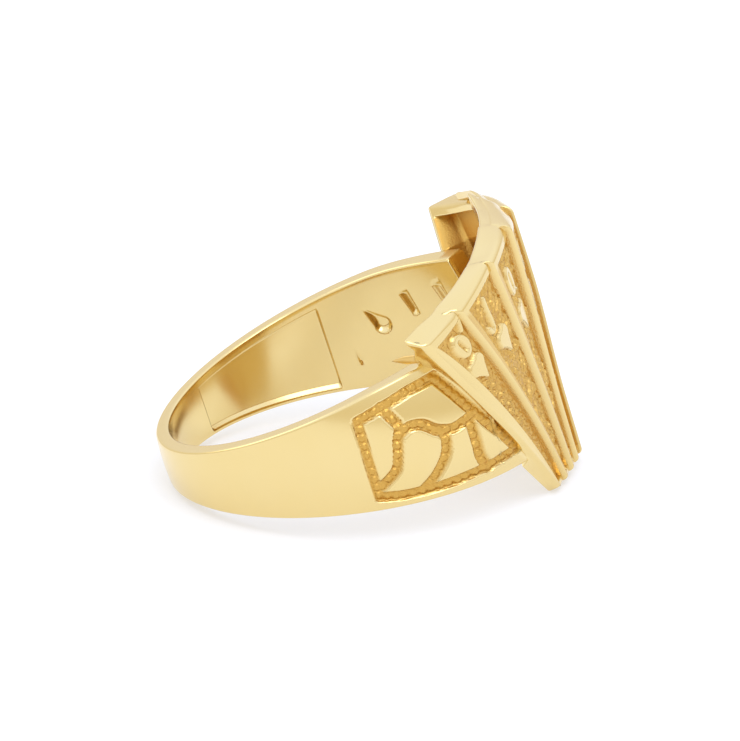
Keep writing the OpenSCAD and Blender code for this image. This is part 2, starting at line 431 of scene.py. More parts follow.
def band_profile():
    """The band's cross-section as a loop of columns: depth from the outside 0 to the finger wall 1,
    height from -1 to 1, and what is added to each in millimetres. The outside runs up, the top rim
    inwards, the finger wall down and the foot rim outwards, with round corners between."""
    def crowding(height):
        return sum((much * near(height, centre, reach) for much, centre, reach in DENTS_CROWD), 1)

    quarter = np.linspace(0, math.pi / 2, 6)[1:-1]
    cos, sin = RIM_ROUND * np.cos(quarter), RIM_ROUND * np.sin(quarter)
    up = np.linspace(-1, 1, OUTSIDE_COLUMNS)
    down = spaced(1, -1, INSIDE_COLUMNS, crowding)
    edge = np.array([RIM_ROUND, RIM_FLAT, HOLLOW_RIM, HOLLOW_RIM + STEP / 3, HOLLOW_RIM + STEP / 1.5])
    middle = HOLLOW_RIM + STEP
    rim = np.linspace(0, 1, 5)
    sections = [
        (0, up, 0, -RIM_ROUND * up),
        (0, 1, RIM_ROUND - cos, sin - RIM_ROUND),
        (rim, 1, RIM_ROUND * (1 - 2 * rim), 0),
        (1, 1, sin - RIM_ROUND, cos - RIM_ROUND),
        (1, 1, 0, -edge),
        (1, down, 0, -middle * down),
        (1, -1, 0, edge[::-1]),
        (1, -1, cos - RIM_ROUND, RIM_ROUND - sin),
        (rim[::-1], -1, RIM_ROUND * (1 - 2 * rim[::-1]), 0),
        (0, -1, RIM_ROUND - sin, RIM_ROUND - cos),
    ]
    return stacked(sections)


def band_turns():
    """Places round the band, a turn of 0 being the back: closest over the carved shoulders and at the
    ends of the hollows."""
    def crowding(turn):
        side = np.degrees(np.abs(turn))
        ends = sum(near(side, end, HOLLOW_END_REACH) for end in HOLLOW_ENDS)
        after = smooth((side - PANEL_TURNS[0]) / PANEL_TURN_RUNS[0])
        before = smooth((PANEL_TURNS[1] - side) / PANEL_TURN_RUNS[1])
        return 1 + PANEL_CROWD * after * before + HOLLOW_END_CROWD * ends

    return spaced(-math.pi, math.pi, BAND_TURNS + 1, crowding)[:-1]


# How far the band's outside stays behind the first card's face, and how many rounds settle its width
# and X
BAND_UNDER_FAN = 0.3
SETTLING_ROUNDS = 3

# The rim of the window, under the head, is rough and darker as painted shade, but for its inner edge:
# how softly that begins where the rim is cut, how much earlier it begins on the far side, and where it
# ends in depth. BACK_SHADE is the attribute there and in the head's hollow: painted shade, with rougher
# metal.
CUT_RUN = 0.4
CUT_EARLIER = 2.2
CUT_DEPTH = (0.7, 0.2)
BACK_SHADE = 1.0


def make_band(material):
    """The band: its cross-section carried round the finger axis. At each point the half width follows
    X, the outside is the crowned disc or what lies under the fan, and relief moves a point along the
    radius."""
    turn = band_turns()[:, None]
    depth, height, depth_mm, height_mm = [part[None, :] for part in band_profile()]
    angle = math.pi - turn
    rim = window_rim(turn)
    cut = band_half(HOLE_R * np.cos(angle)) - rim
    drop = WINDOW_DROP * (1 - depth) * smooth(cut / WINDOW_DROP_RUN)
    rim = rim - drop * ramp(rim, SILL_Z, SILL_DROP_RUN)
    z = np.zeros(np.broadcast(turn, depth).shape)
    for _ in range(SETTLING_ROUNDS):
        wall = np.minimum(band_outside(angle, z), fan_reach(angle, z, card_radius(0) - BAND_UNDER_FAN))
        r = wall + (HOLE_R - wall) * depth - depth_mm
        x = r * np.cos(angle)
        half = band_half(x)
        top = np.minimum(half + TOP_HIGHER - TOP_FALL * ramp(x, *TOP_FALL_X), rim)
        foot = half - FOOT_HIGHER
        z = (top - foot) / 2 + height * (top + foot) / 2 + height_mm
    outside = (depth == 0) & (depth_mm == 0)
    carved = outside & (x > PANEL_FROM_X) & (x < PANEL_TO_X)
    relief = np.zeros(z.shape)
    field = np.zeros(z.shape)
    relief[carved], field[carved] = shoulder_relief(x[carved], z[carved])
    # Painted shade, with rougher metal, on the band's rim where the window is cut under the head
    earlier = np.where(np.sin(angle) > 0, CUT_EARLIER, 0)
    rough_and_shade = smooth((half - rim + earlier) / CUT_RUN) * (1 - ramp(depth, *CUT_DEPTH))
    field = np.where(~outside & (height == 1), BACK_SHADE * rough_and_shade, field)
    inside = (depth == 1) & (depth_mm == 0)
    worn = hollow_relief(turn, z, half) + dent_relief(turn, z)
    r = r + relief + np.where(inside, worn, 0)
    points = np.stack([r * np.cos(angle), r * np.sin(angle), z], axis=-1)
    faces = quads(r.shape[0], r.shape[1], True)
    return new_object("band", points.reshape(-1, 3), faces, material, field.ravel())


# The upper part of the last two cards stands further out, in full from the second height on
SWELLS = (0.0, 0.0, 0.0, 0.13, 0.27)
SWELL_FROM, SWELL_TO = -4.5, 3.0

# The back of the head: one surface behind the first three cards, at places in Y, and one each behind
# the last two
SHARED_BACK_Y = (-11.6, -5.0, 0.0, 5.0)
SHARED_BACK_R = (16.39, 16.45, 16.55, 16.62)
LAST_BACKS = {"king": 17.15, "ace": 17.43}

# The top of the head, at places in Y: the back edge that is seen from above, how far it stands above
# the arc, and how far the front edge does. That fades out over a distance from the top, and the foot's
# own rise over one from the foot.
EDGE_Y = (-11.6, -5.0, 0.0, 3.5, 6.5, 8.0, 10.0, 11.6)
EDGE_R = (16.39, 16.45, 16.55, 16.6, 17.15, 17.15, 17.43, 17.43)
RISE_Y = (-11.6, -10.5, -9.55, -8.65, -7.2, -4.2, -2.2, 0.0, 2.6, 4.0, 6.0, 9.1, 10.1, 11.6)
RISE = (0.52, 0.5, 0.39, 0.35, 0.22, 0.1, 0.25, 0.38, 0.6, 0.92, 1.05, 0.72, 0.5, 0.12)
FRONT_Y = (-11.6, -10.6, -9.3, -9.1, -5.0, 0.0, 2.0, 4.0, 6.0, 8.0, 9.0, 11.6)
FRONT_RISE = (0.0, -0.1, -0.1, 0.02, 0.06, -0.02, -0.2, -0.3, -0.1, 0.2, 0.35, 0.6)
RISE_FADE = 2.0
FOOT_FADE = 1.5

# The back edge of the last card stands lower, so that the far top corner of the king shows as a step
LAST_RISE_Y = (4.0, 9.0, 11.6)
LAST_RISE = (-0.2, -0.1, 0.2)
KING_CORNER = 8.8

# Round the field of each card: the border beside the left edge at the top and lower down, the share of
# the length where it changes, the borders at both ends, and the depth of the field
BORDERS = [(0.27, 0.14), (0.46, 0.22), (0.44, 0.22), (0.2, 0.16), (0.22, 0.18)]
BORDER_RUN = 0.55
TOP_BORDER = 0.6
FOOT_BORDER = 0.4
FIELDS = (0.24, 0.24, 0.22, 0.15, 0.2)

# The left edge of the first card bows out beyond its straight line: how far, as a half wave to a power
FIRST_BOW = 0.7
BOW_POWER = 0.8

# A card's length, how far apart the columns and rows of its field and the rows of its top border are,
# the angle where the rows of its rounded ends begin, the row beyond each end, and how many columns its
# sides and its back have: the two sides of the head have more
CARD_LENGTH = 14.3
CARD_FINE = 0.052
BORDER_FINE = 0.05
CURL_FROM = 0.25
BEYOND_END = 0.12
SIDE_COLUMNS = 5
SIDE_WALL_COLUMNS = 20
BACK_COLUMNS = 34

# A card goes on at least HIDDEN_WIDTH under the next one, and lies deeper there, from a lap beyond the
# next one's edge. Its ends and its back draw in by UNDER_NEXT where it is covered: beyond a gap and
# over a run, less and less away from both ends.
HIDDEN_WIDTH = 0.85
SUNK_UNDER_NEXT = 0.42
NEXT_LAP = 0.12
SUNK_RUN = 0.15
UNDER_NEXT = 0.05
COVER_GAP = 0.1
COVER_RUN = 0.25
COVER_ENDS = (0.2, 0.8)

# The hollow in the back: where it begins below the top of each card, and how softly it begins over the
# sill
HOLLOW_TOPS = (0.72, 0.72, 0.72, 0.4, 0.4)
SILL_RUN = 0.3

# In the hollow the attribute, painted shade with rougher metal, reaches BACK_SHADE early on its walls.
# On the last card it takes in the whole back, from a distance below the top and but for a bright strip
# beside the right edge.
HOLLOW_SHADE_RISE = 6
LIP_SHADE_FROM = 0.45
LIP_BRIGHT = 0.3
LIP_SHADE_RUN = 0.08

# Round the finger hole the head's back keeps this far from it, above a height
FINGER_CLEAR = 0.04
CLEAR_ABOVE = (-5.4, 0.8)

# Rounding: of the front edge at the top, on the near and on the far side, and where it changes; of the
# corner at the left edge; and how much less the two tips of the head are rounded, from where on, at the
# sides and in front
FRONT_ROUND = (0.3, 0.6)
FRONT_ROUND_Y = (-3, 5)
FIRST_CORNER = 0.25
NEXT_CORNER = 0.09
TIPS_Y = (9.2, 1.6)
TIP_SIDE_LESS = 0.55
TIP_FRONT_LESS = 0.6

# At the top, a card's left side reaches under the card before it: how far, over what run of depth, and
# down to which rows
SEAM_LAP = 0.3
SEAM_RUN = 0.25
SEAM_ROWS = (0.25, 0.2)


def card_radius(k):
    """Distance of a card's face from the fan's axis: each card lies a step further out."""
    return MIDDLE_R + (k - 2) * CARD_STEP


def swell(k, z):
    """How much further out the upper part of a card's face stands."""
    return SWELLS[k] * ramp(z, SWELL_FROM, SWELL_TO - SWELL_FROM)


def back_radius(k, y):
    """Distance of the back of a card's thick part from the fan's axis: one surface behind the first
    three cards, and one each behind the last two."""
    if CARDS[k][0] in LAST_BACKS:
        return LAST_BACKS[CARDS[k][0]] + 0 * y
    return np.interp(y, SHARED_BACK_Y, SHARED_BACK_R)


def left_line(k, v):
    """Y of the straight left edge of a card, at a share v of its length from the top."""
    return mix(CARDS[k][1] * FAN_HALF, CARDS[k][2] * FOOT_HALF, v)


def fan_x(y, z, radius):
    """X of the place at Y and Z on a cylinder about the fan's axis."""
    return (AXIS_X + np.sqrt(radius**2 - y**2) + z * math.sin(LEAN)) / math.cos(LEAN)


def top_z(y):
    """Height of the fan's top at y: an arc through its middle and its two corners."""
    arc = (FAN_HALF**2 + FAN_DROP**2) / (2 * FAN_DROP)
    return FAN_TOP - arc + np.sqrt(arc**2 - y**2)


def top_stand(k, y, radius):
    """How far the top of the head stands above its arc, at Y and a distance from the fan's axis: one
    slope from the front edge to the back edge, the same on all cards but the last."""
    face = MIDDLE_R + y * 2 * CARD_STEP / FAN_HALF
    share = np.clip((face - radius) / (face - np.interp(y, EDGE_Y, EDGE_R)), 0, 1.2)
    last = k == len(CARDS) - 1
    rise = np.interp(y, LAST_RISE_Y, LAST_RISE) if last else np.interp(y, RISE_Y, RISE)
    return mix(np.interp(y, FRONT_Y, FRONT_RISE), rise, share)


def rounding(e, size):
    """How far a surface draws in at a distance e from an edge, to round the edge to a quarter
    circle."""
    inner = np.clip(size - e, 0, size)
    return size - np.sqrt(size**2 - inner**2)


def card_rows():
    """Distances from the top of a card at which its cross-sections stand: close together at both
    rounded ends and at the borders' steps, even over the field. One beyond each end lies in the flat
    end, further in."""
    curl = EDGE_ROUND * (1 - np.cos(np.linspace(CURL_FROM, math.pi / 2, 6)))
    step = np.linspace(0, STEP, 4)
    border = np.arange(EDGE_ROUND + BORDER_FINE, TOP_BORDER - 0.02, BORDER_FINE)
    head = np.concatenate([curl, border, TOP_BORDER + step])
    foot_at = CARD_LENGTH - FOOT_BORDER
    foot = np.linspace(foot_at + 0.06, CARD_LENGTH - EDGE_ROUND - 0.04, 4)
    count = int((foot_at - TOP_BORDER - 3 * STEP) / CARD_FINE)
    field = np.linspace(TOP_BORDER + 1.5 * STEP, foot_at - 1.5 * STEP, count)
    ends = np.array([-BEYOND_END, 0.0])
    tail = [foot_at - step[::-1], foot, (CARD_LENGTH - curl)[::-1], CARD_LENGTH - ends[::-1]]
    return np.concatenate([ends, head, field] + tail)


def card_columns(k):
    """A card's cross-section as a loop of columns, and how many of them are its front. Each is placed
    by shares of four upright lines, the left edge, the border's inner edge, the next card's edge and
    the right edge, and by millimetres; then its depth as a share of the thickness and in
    millimetres."""
    quarter = np.linspace(0, math.pi / 2, 7)[1:-1]
    cos, sin = EDGE_ROUND * np.cos(quarter), EDGE_ROUND * np.sin(quarter)
    first, last = k == 0, k == len(CARDS) - 1
    soft = FIRST_CORNER if first else NEXT_CORNER
    width = (1 - CARDS[k][1]) * FAN_HALF if last else (CARDS[k + 1][1] - CARDS[k][1]) * FAN_HALF
    t = np.linspace(0, 1, int(1.1 * width / CARD_FINE))
    border = np.array([0, 0.03, 0.1, 0.22, 0.36, 0.5, 0.64, 0.78, 0.9, 0.97, 1])
    step = np.linspace(0, STEP, 4)[1:-1]
    wall = np.linspace(0, 1, SIDE_WALL_COLUMNS if first or last else SIDE_COLUMNS)[1:-1]
    lip = np.array([LIP_BRIGHT, LIP, LIP + STEP / 3, LIP + STEP / 1.5])
    back = np.linspace(0, 1, BACK_COLUMNS)
    sunk = 0 if last else SUNK_UNDER_NEXT
    field_end = -STEP if last else NEXT_LAP
    corner = EDGE_ROUND if first else 0
    sections = [
        (1, 0, 0, 0, soft * (1 - np.cos(quarter)), 0, soft * (1 - np.sin(quarter))),
        (1 - border, border, 0, 0, soft * (1 - border), 0, 0),
        (0, 1, 0, 0, step, 0, 0),
        (0, 1 - t, t, 0, mix(STEP, field_end, t), 0, 0),
    ]
    if last:
        sections += [
            (0, 0, 1, 0, step - STEP, 0, 0),
            (0, 0, 1 - border, border, -EDGE_ROUND * border, 0, 0),
        ]
    else:
        under = mix(NEXT_LAP + SUNK_RUN, -EDGE_ROUND, border)
        sections.append((0, 0, 1 - border, border, under, 0, sunk))
    sections.append((0, 0, 0, 1, sin - EDGE_ROUND, 0, sunk + EDGE_ROUND - cos))
    front_count = sum(max(np.size(part) for part in section) for section in sections)
    sections += [
        (0, 0, 0, 1, 0, wall, mix(sunk + EDGE_ROUND, -EDGE_ROUND, wall)),
        (0, 0, 0, 1, cos - EDGE_ROUND, 1, sin - EDGE_ROUND),
        (0, 0, 0, 1, -lip, 1, 0),
        (back, 0, 0, 1 - back, mix(-LIP - STEP, LIP + STEP, back), 1, 0),
        (1, 0, 0, 0, lip[::-1], 1, 0),
        (1, 0, 0, 0, corner * (1 - sin / EDGE_ROUND), 1, cos - EDGE_ROUND),
        (1, 0, 0, 0, 0, 1 - wall, mix(-EDGE_ROUND, soft, wall)),
    ]
    return stacked(sections), front_count


# A heart, in shares of its width and height: how far out and up from its centre its lobes are, their
# radius, and the bar that narrows down to its point
LOBE_OUT, LOBE_UP, LOBE_R = 0.24, 0.16, 0.26
POINT_DOWN, POINT_START_R, POINT_END_R = 0.44, 0.39, 0.06


def heart_gap(p, q, centre, width, height):
    """Distance to a heart that stands on its point: two lobes and a tapered bar."""
    u, v = (p - centre[0]) / width, (q - centre[1]) / height
    lobes = np.minimum(np.hypot(u - LOBE_OUT, v + LOBE_UP), np.hypot(u + LOBE_OUT, v + LOBE_UP)) - LOBE_R
    point = tapered_gap(u, v, (0, 0), (0, POINT_DOWN), POINT_START_R, POINT_END_R)
    return width * np.minimum(lobes, point)


def oval_gap(p, q, centre, half_width, half_height):
    """Distance, nearly, to a filled oval."""
    return half_width * (np.hypot((p - centre[0]) / half_width, (q - centre[1]) / half_height) - 1)


def letter_o(p, q, centre, half_width, half_height):
    """Distance to an oval plate with a narrow upright slot in its middle."""
    half_slot = SLOT_SHARE * half_height
    slot = (centre[0], centre[1] - half_slot), (centre[0], centre[1] + half_slot)
    plate = oval_gap(p, q, centre, half_width, half_height)
    return np.maximum(plate, SLOT_HALF - segment_gap(p, q, *slot))


# The rank and heart on each card: places are millimetres inwards from the left edge and down along it.
# A round letter is its middle and both half sizes, its slot a share of its height and a half width, and
# a stroke two ends.
TEN_NOUGHT = ((1.31, 2.52), 0.58, 0.88)
TEN_ONE = ((2.5, 1.2), (2.0, 2.0))
QUEEN_ROUND = ((1.6, 2.75), 0.6, 0.95)
QUEEN_TAIL = ((1.75, 3.3), (2.2, 3.75))
SLOT_SHARE = 0.42
SLOT_HALF = 0.12
JACK_MARK = [(2.0, 1.75), (1.77, 2.4), (1.6, 3.1), (1.4, 3.6), (1.08, 3.62), (0.98, 3.2)]
KING_MARK = [((0.95, 1.9), (0.95, 3.3)), ((1.7, 1.9), (1.0, 2.6)), ((1.1, 2.5), (1.75, 3.3))]
ACE_MARK = [((1.3, 1.8), (0.85, 3.3)), ((1.3, 1.8), (1.75, 3.3)), ((1.0, 2.8), (1.6, 2.8))]
HEARTS = [(1.08, 4.53), (1.7, 5.07), (1.7, 5.25), (1.5, 5.1), (1.5, 5.1)]
HEART_SIZE = (1.48, 1.95)
ACE_HEART = (1.85, 8.2)
ACE_HEART_SIZE = (1.9, 2.4)
STROKE = 0.12
JACK_STROKE = 0.14


def rank_gap(k, s, q):
    """Distance to the rank mark and the heart of a card."""
    rank = CARDS[k][0]
    if rank == "ten":
        mark = np.minimum(letter_o(s, q, *TEN_NOUGHT), segment_gap(s, q, *TEN_ONE) - STROKE)
    elif rank == "jack":
        mark = path_gap(s, q, rounded_path(JACK_MARK, 24)) - JACK_STROKE
    elif rank == "queen":
        mark = np.minimum(letter_o(s, q, *QUEEN_ROUND), segment_gap(s, q, *QUEEN_TAIL) - STROKE)
    else:
        bars = KING_MARK if rank == "king" else ACE_MARK
        mark = np.minimum.reduce([segment_gap(s, q, a, b) for a, b in bars]) - STROKE
    gap = np.minimum(mark, heart_gap(s, q, HEARTS[k], *HEART_SIZE))
    if rank == "ace":
        gap = np.minimum(gap, heart_gap(s, q, ACE_HEART, *ACE_HEART_SIZE))
    return gap


# How high the marks stand, as a share of the field's depth, the run of their sides, and the ground that
# stays free of ornament round them: from where and how far, and likewise beside the next card
MARK_SHARE = 0.86
MARK_SIDE = 0.1
MARK_FREE = (0.02, 0.12)
NEXT_FREE = (0.03, 0.15)

# The ten's ornament: rings in rows down the card, swaying from row to row, between two places on the
# card, each with a run. A ring is its place inwards, how much lower it stands, its radius and its half
# width.
PIP_SHARE = 0.75
PIP_Q, PIP_STEP = 5.6, 0.5
PIP_SWAY = 0.17
PIP_RINGS = [(0.5, 0.0, 0.15, 0.055), (0.86, 0.2, 0.12, 0.05)]
PIPS_BEGIN = (5.2, 0.2)
PIPS_END = (10.2, 0.3)

# The court cards' ornament, wavy strokes: their height, spacing, slant, sway and its waves inwards and
# down, their wandering and its size, how sharply and above what they rise from a plain wave, and how
# strong and how large the breaks in them are
STROKE_SHARE = 0.62
STROKE_STEP = 0.46
STROKE_SLANT = 0.7
STROKE_SWAY, SWAY_ACROSS, SWAY_DOWN = 0.1, 4.2, 1.1
STROKE_WANDER, WANDER_SIZE = 0.08, 0.9
STROKE_SHARP, STROKE_ABOVE = 1.9, 0.8
BREAK_STRONG, BREAK_SIZE = 1.6, 0.55
STROKES_BEGIN = (0.7, 0.4)

# The ground between: the height of its grain, the size of the fine and the coarse grain, and the share
# of the coarse. Beside the next card it fades.
STIPPLE = 0.055
FINE_GRAIN, COARSE_GRAIN = 0.11, 0.23
COARSE_SHARE = 0.6
GRAIN_FREE = (0.02, 0.2)

# The border beside the left edge: the depth of its hollow, where that begins at the top, its distance
# from the edge and how much narrower than the border it is; the height of the crest, its half width,
# and the run over which it begins below the top border
DISH = 0.015
DISH_BEGIN = (0.25, 0.5)
DISH_INSET, DISH_NARROWER = 0.14, 0.2
CREST = 0.01
CREST_HALF = 0.08
CREST_RUN = 0.3

# The attribute on the rough ground of the fields, darker there as painted shade, and the painted shade
# on the side and the inner part of the border of all cards but the first: the border stays bright beside
# the edge and turns to painted shade within a short run, below the top border within a longer one, and
# the side below a depth
FIELD_SHADE = 0.88
EDGE_SHADE = 0.5
EDGE_BRIGHT = 0.08
EDGE_RUN = 0.04
EDGE_TOP_RUN = 0.4
SIDE_DEPTH = (0.05, 0.1)


def filled(gap):
    """1 inside a mark and 0 outside it, with a soft side."""
    return 1 - smooth((gap + MARK_SIDE / 2) / MARK_SIDE)


def ornament(k, s, q):
    """Height share, 0 to 1, of what fills a card's field below its heart: small lacy pips on the ten,
    short wavy slanting strokes on the court cards."""
    rank = CARDS[k][0]
    if rank == "ace":
        return np.zeros_like(s)
    if rank == "ten":
        row = np.round((q - PIP_Q) / PIP_STEP)
        sway = PIP_SWAY * np.cos(row * math.pi)
        row_q = PIP_Q + PIP_STEP * row
        rings = []
        for (place, lower, radius, half), way in zip(PIP_RINGS, (1, -1)):
            rings.append(np.abs(np.hypot(s - place - way * sway, q - row_q - lower) - radius) - half)
        ends = smooth((PIPS_END[0] - q) / PIPS_END[1])
        return PIP_SHARE * filled(np.minimum(*rings)) * ramp(q, *PIPS_BEGIN) * ends
    sway = STROKE_SWAY * np.sin(SWAY_ACROSS * s + SWAY_DOWN * q)
    wander = STROKE_WANDER * grain(s, q, WANDER_SIZE, 30 + k)
    wave = (q + STROKE_SLANT * s + sway + wander) / STROKE_STEP
    stroke = 0.5 + 0.5 * np.cos(2 * math.pi * wave)
    stroke = smooth(stroke * STROKE_SHARP - STROKE_ABOVE)
    broken = smooth(0.5 + BREAK_STRONG * grain(s, q, BREAK_SIZE, 40 + k))
    return STROKE_SHARE * stroke * broken * ramp(q, *STROKES_BEGIN)


def face_relief(k, y, z, e, lines):
    """How far a card's front lies below its rim, and how much of it is rough field, which the material
    also
    darkens as painted shade: the field is sunk inside its borders, marks and ornament stand on it, and
    the ground between is stippled. The border beside the left edge is a little hollow, with a fine crest
    at the field."""
    left, inner, following = lines
    top = np.array([CARDS[k][1] * FAN_HALF, top_z(CARDS[k][1] * FAN_HALF)])
    foot = np.array([CARDS[k][2] * FOOT_HALF, FOOT_Z])
    down = (foot - top) / np.hypot(*(foot - top))
    q = (y - top[0]) * down[0] + (z - top[1]) * down[1]
    s = -(y - top[0]) * down[1] + (z - top[1]) * down[0]
    inside = ramp(y, inner, STEP) * ramp(e, TOP_BORDER, STEP)
    inside = inside * smooth((CARD_LENGTH - FOOT_BORDER - e) / STEP)
    if k == len(CARDS) - 1:
        inside = inside * smooth((following - y) / STEP)
    gap = rank_gap(k, s, q)
    mark = filled(gap)
    clear = ramp(gap, *MARK_FREE) * ramp(following - y, *NEXT_FREE)
    raised = np.maximum(MARK_SHARE * mark, ornament(k, s, q) * clear)
    fine, coarse = grain(s, q, FINE_GRAIN, 20 + k), grain(s, q, COARSE_GRAIN, 60 + k)
    stipple = STIPPLE * (fine + COARSE_SHARE * coarse) * (1 - mark)
    stipple = stipple * ramp(following - y, *GRAIN_FREE)
    crest = CREST * near(y, inner, CREST_HALF) * ramp(e, TOP_BORDER, CREST_RUN)
    across = np.clip((y - left - DISH_INSET) / (inner - left - DISH_NARROWER), 0, 1)
    dish = DISH * np.sin(math.pi * across) * ramp(e, *DISH_BEGIN) * (y < inner)
    sink = inside * (FIELDS[k] * (1 - raised) - stipple) + (dish - crest) * (1 - inside)
    return sink, FIELD_SHADE * inside * (1 - mark)


# Where the fan's side walls meet the band: for a height of the fan's edge, the place of the wall's
# inner edge in X, Y and Z. The far wall mirrors the near one at the foot, and ends higher up in a
# smaller corner. The wall takes the back surface with it, so far in.
WALL_FADE = 4.5
NEAR_WALL = [
    (5.6, 5.4, -11.5, 6.2), (5.4, 5.85, -10.97, 5.38), (5.0, 5.7, -10.6, 4.9), (4.6, 5.57, -10.05, 4.5),
    (4.2, 5.5, -8.6, 3.6), (3.44, 6.31, -8.91, 3.44), (1.88, 7.34, -8.58, 1.88),
    (-0.04, 8.12, -7.98, -0.04), (-1.1, 8.45, -7.35, -1.1), (-2.06, 8.74, -6.8, -2.06),
    (-3.2, 8.95, -6.25, -3.2), (-4.04, 9.1, -6.0, -4.15), (-4.5, 9.12, -6.5, -4.6),
    (-5.5, 9.3, -5.5, -5.5), (-7.6, 9.7, -3.0, -7.62),
]
FAR_WALL = [
    (5.6, 6.45, 11.62, 5.8), (3.9, 6.7, 8.9, 3.9), (1.88, 6.95, 8.9, 1.88), (-0.04, 7.9, 8.57, -0.04),
    (-2.06, 8.8, 7.63, -2.06), (-4.04, 9.3, 6.3, -4.3), (-4.5, 9.12, 6.5, -4.6), (-5.5, 9.3, 5.5, -5.5),
    (-7.6, 9.7, 3.0, -7.62),
]


def make_card(k, material):
    """One card: a curved slab whose cross-section, a loop, runs from the fan's top to its foot. A point
    at Y, Z and a depth lies on the cylinder about the leaning fan axis with the card's radius less that
    depth."""
    rank = CARDS[k][0]
    first, last = k == 0, k == len(CARDS) - 1
    far_top, far_foot = -CARDS[-1 - k][1] * FAN_HALF, -CARDS[-1 - k][2] * FOOT_HALF
    e = card_rows()[:, None]
    v = np.clip(e / CARD_LENGTH, 0, 1)
    line = left_line(k, v)
    left = line - (FIRST_BOW * np.sin(math.pi * v) ** BOW_POWER if first else 0)
    right = mix(KING_CORNER if rank == "king" else far_top, far_foot, v)
    border = mix(*BORDERS[k], smooth(v / BORDER_RUN))
    inner = line + border
    following = right - border if last else left_line(k + 1, v)
    right = right if last else np.maximum(right, following + HIDDEN_WIDTH)
    (at_left, at_inner, at_next, at_right, mm, deep, deep_mm), front_count = card_columns(k)
    front = np.arange(len(deep)) < front_count

    # The plain loop, then both ends drawn in to round them. A left edge that lies on another card stays
    # square, and behind the face it reaches under the top of the card before.
    y = left * at_left + inner * at_inner + following * at_next + right * at_right + mm
    thick = card_radius(k) - back_radius(k, y)
    depth = thick * deep + deep_mm
    from_end = np.minimum(e, CARD_LENGTH - e)
    upper = e < CARD_LENGTH / 2
    tip = np.where(upper, ramp(np.abs(y), *TIPS_Y), 0)
    flat_end = np.maximum(-from_end, 0)
    pinch = rounding(from_end, EDGE_ROUND * (1 - TIP_SIDE_LESS * tip)) + flat_end
    from_left = pinch if first else 0
    y = left + from_left + (y - left) * (1 - (from_left + pinch) / (right - left))
    size = mix(*FRONT_ROUND, ramp(y, *FRONT_ROUND_Y)) * (1 - TIP_FRONT_LESS * tip)
    from_front = rounding(from_end, np.where(upper, size, EDGE_ROUND)) + flat_end
    depth = from_front + depth * (1 - (from_front + pinch) / thick)
    at_seam = smooth((SEAM_LAP - y + left) / SEAM_LAP)
    lap = 0 if first else SEAM_LAP * ramp(depth, SUNK_UNDER_NEXT, SEAM_RUN) * at_seam
    y = y - lap * (1 - ramp(e, *SEAM_ROWS))

    def height_at(y, radius):
        """Z of the place at Y and a distance from the fan's axis: from the top of the head, with how
        far it stands above its arc there, to the foot, which rises a little towards the front."""
        across = (y - left) / (right - left)
        edge_y = mix(left[0, 0], right[0, 0], across)
        z = mix(top_z(edge_y), FOOT_Z, v) + top_stand(k, edge_y, radius) * (1 - smooth(e / RISE_FADE))
        return z + FOOT_RISE * (radius - back_radius(k, y)) * (1 - smooth((CARD_LENGTH - e) / FOOT_FADE))

    z = height_at(y, card_radius(k) - depth)
    covered = 0 * y if last else ramp(y - following, COVER_GAP, COVER_RUN)
    covered = np.maximum(covered, smooth((left - y) / COVER_RUN))
    z = z - UNDER_NEXT * covered * (1 - ramp(from_end, *COVER_ENDS)) * np.where(upper, 1, -1)
    is_face = front & (deep_mm == 0) & (deep == 0)
    sink, field = face_relief(k, y, z, e, (left, inner, following))
    depth = depth + np.where(is_face, sink, 0)
    hollow = ramp(y - left, LIP, STEP) if first else 1
    hollow = hollow * (smooth((right - LIP - y) / STEP) if last else 1)
    hollow = hollow * ramp(e, HOLLOW_TOPS[k], STEP) * ramp(z, SILL_Z, SILL_RUN)
    limit = mix(thick - UNDER_NEXT * covered, SKIN, hollow)
    behind = ~front & (depth > SUNK_UNDER_NEXT)
    share = (depth - SUNK_UNDER_NEXT) / (thick - SUNK_UNDER_NEXT)
    depth = np.where(behind, mix(SUNK_UNDER_NEXT, limit, share), depth)
    radius = card_radius(k) + swell(k, z) * (1 - np.clip(depth / thick, 0, 1)) - depth
    x = fan_x(y, z, radius)
    is_back = ~front & (deep == 1) & (deep_mm == 0)
    hole_x = np.sqrt(np.maximum((HOLE_R + FINGER_CLEAR) ** 2 - y**2, 0))
    beside_hole = ramp(z, *CLEAR_ABOVE) * (np.abs(y) < HOLE_R)
    clear_x = mix(x, np.maximum(x, hole_x), beside_hole)
    x = np.where(is_back | (depth > thick / 2), np.maximum(x, clear_x), x)
    points = np.stack([x, y, z], axis=-1)

    # Rougher parts, darker as painted shade: the hollow behind, on the last card all of the back but its
    # upper and right edge, and on all but the first card the side and the inner part of the border
    side = ~front & (at_left == 1) & (deep < 1) & (not first)
    # Painted shade on the inner part of the border, beside a bright strip at the edge
    shaded = EDGE_SHADE * ramp(y - left, EDGE_BRIGHT, EDGE_RUN) * ramp(e, TOP_BORDER, EDGE_TOP_RUN)
    field = np.where(front, np.maximum(field, shaded * (not first) * (y < inner)), 0)
    field = np.where(side, EDGE_SHADE * ramp(depth, *SIDE_DEPTH), field)
    field = np.where(is_back, BACK_SHADE * smooth(HOLLOW_SHADE_RISE * hollow), field)
    if last:
        on_lip = smooth((right - LIP_BRIGHT - y) / LIP_SHADE_RUN)
        field = np.where(is_back & (e > LIP_SHADE_FROM), np.maximum(field, on_lip), field)

